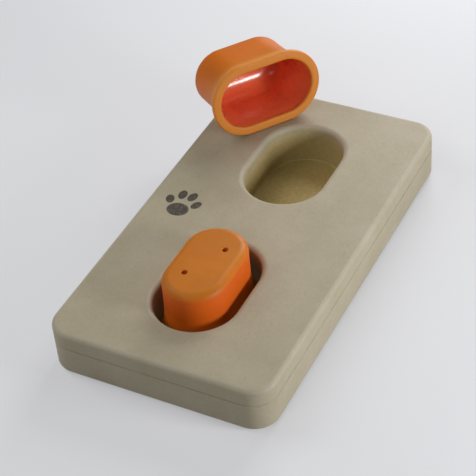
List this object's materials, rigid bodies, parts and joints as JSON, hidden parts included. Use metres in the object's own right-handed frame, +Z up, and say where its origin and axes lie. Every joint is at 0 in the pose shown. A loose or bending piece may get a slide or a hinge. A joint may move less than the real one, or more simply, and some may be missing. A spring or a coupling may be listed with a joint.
{
  "type": "dog puzzle feeder toy",
  "caption": "Flat wooden board with oblong pockets that hide treats under flared oval cups, which the dog noses or lifts off.",
  "frame": {"origin": "middle of the board, on the plane that its four feet stand on", "axes": "+X across the board to the right, +Y along the board to the end where the cup lies, +Z up"},
  "size_m": [0.1316, 0.2295, 0.0691],
  "materials": {
    "board_wood": "smooth pale fibre board, clear matt lacquer",
    "cup_plastic": "satin moulded orange plastic",
    "foot_rubber": "matt rubber"
  },
  "bodies": {
    "board": {"top_board": "board_wood", "base_board": "board_wood", "foot_front_left": "foot_rubber", "foot_front_right": "foot_rubber", "foot_back_left": "foot_rubber", "foot_back_right": "foot_rubber"},
    "seated_cup": {"front_cup": "cup_plastic"},
    "lying_cup": {"back_cup": "cup_plastic"}
  },
  "joints": [
    {"name": "front_cup_lift", "type": "slide", "parent": "board", "child": "seated_cup", "axis": [0, 0, 1], "range_m": [0, 0.06]},
    {"name": "back_cup_lift", "type": "slide", "parent": "board", "child": "lying_cup", "axis": [0, 0, 1], "range_m": [0, 0.06]}
  ]
}
